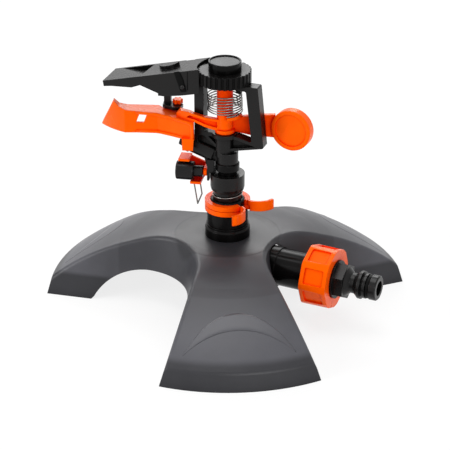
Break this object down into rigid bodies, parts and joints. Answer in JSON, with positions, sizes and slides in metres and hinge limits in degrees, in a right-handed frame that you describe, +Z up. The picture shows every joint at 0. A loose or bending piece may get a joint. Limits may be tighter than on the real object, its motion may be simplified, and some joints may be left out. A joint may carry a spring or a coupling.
{
  "type": "impulse sprinkler",
  "caption": "Impulse sprinkler: a turning head with a sprung swing arm, a jet flap and a trip, on a three-legged base with a hose inlet.",
  "frame": {"origin": "on the ground, in the middle of the bounding box; the riser's axis is at x +0.9 mm, y +8.9 mm", "axes": "+Z up along the riser; +X to the right as seen in the picture; +Y away from the camera"},
  "size_m": [0.2323, 0.2165, 0.1621],
  "materials": {
    "base_grey": "fine textured satin",
    "black_plastic": "satin",
    "orange_plastic": "semi-gloss",
    "steel": "drawn",
    "seal_rubber": "smooth"
  },
  "bodies": {
    "base": {"base_shell": "base_grey", "inlet_elbow": "black_plastic", "elbow_screws": "steel", "riser_collar": "black_plastic", "riser_socket": "black_plastic", "bearing_nut": "black_plastic", "hose_adapter": "black_plastic", "adapter_o_ring": "seal_rubber", "inlet_washer": "seal_rubber"},
    "nut": {"coupling_nut": "orange_plastic"},
    "upper_stop": {"stop_ring_upper": "orange_plastic"},
    "lower_stop": {"stop_ring_lower": "orange_plastic"},
    "head": {"spindle": "black_plastic", "seal_washer": "seal_rubber", "bearing_spring": "steel", "spring_cup": "black_plastic", "locknut": "black_plastic", "head_frame": "black_plastic", "nozzle_tip": "black_plastic", "pivot_pin": "steel", "flap_pin": "black_plastic", "trip_drum": "black_plastic", "arm_spring": "steel"},
    "breaker": {"breaker_screw": "orange_plastic"},
    "arm": {"swing_arm": "orange_plastic"},
    "wheel": {"tension_wheel": "black_plastic", "wheel_cap": "black_plastic"},
    "flap": {"jet_flap": "black_plastic"},
    "trip": {"trip_lever": "orange_plastic", "trip_wire": "steel"}
  },
  "joints": [
    {"name": "head_spin", "type": "hinge", "parent": "base", "child": "head", "pos_m": [0.00087, 0.00894, 0.075], "axis": [0, 0, 1], "range_deg": [-165, 65]},
    {"name": "upper_stop_turn", "type": "hinge", "parent": "base", "child": "upper_stop", "pos_m": [0.00087, 0.00894, 0.0686], "axis": [0, 0, 1], "range_deg": [-25, 140]},
    {"name": "lower_stop_turn", "type": "hinge", "parent": "base", "child": "lower_stop", "pos_m": [0.00087, 0.00894, 0.0652], "axis": [0, 0, 1], "range_deg": [-60, 25]},
    {"name": "nut_turn", "type": "hinge", "parent": "base", "child": "nut", "pos_m": [0.06019, -0.01999, 0.0303], "axis": [0.8988, -0.4384, 0], "continuous": true},
    {"name": "arm_swing", "type": "hinge", "parent": "head", "child": "arm", "pos_m": [-0.00073, 0.00952, 0.118], "axis": [0, 0, 1], "range_deg": [0, 90], "stiffness_Nm_per_rad": 0.02},
    {"name": "wheel_turn", "type": "hinge", "parent": "head", "child": "wheel", "pos_m": [-0.00073, 0.00952, 0.152], "axis": [0, 0, 1], "continuous": true},
    {"name": "flap_tilt", "type": "hinge", "parent": "head", "child": "flap", "pos_m": [-0.02338, 0.01682, 0.1455], "axis": [-0.309, -0.9511, 0], "range_deg": [0, 12]},
    {"name": "trip_tilt", "type": "hinge", "parent": "head", "child": "trip", "pos_m": [-0.01883, 0.01241, 0.0875], "axis": [-0.9848, 0.1736, 0], "range_deg": [-12, 12]},
    {"name": "breaker_turn", "type": "hinge", "parent": "head", "child": "breaker", "pos_m": [-0.03013, 0.02844, 0.12], "axis": [0, 0, 1], "continuous": true}
  ]
}
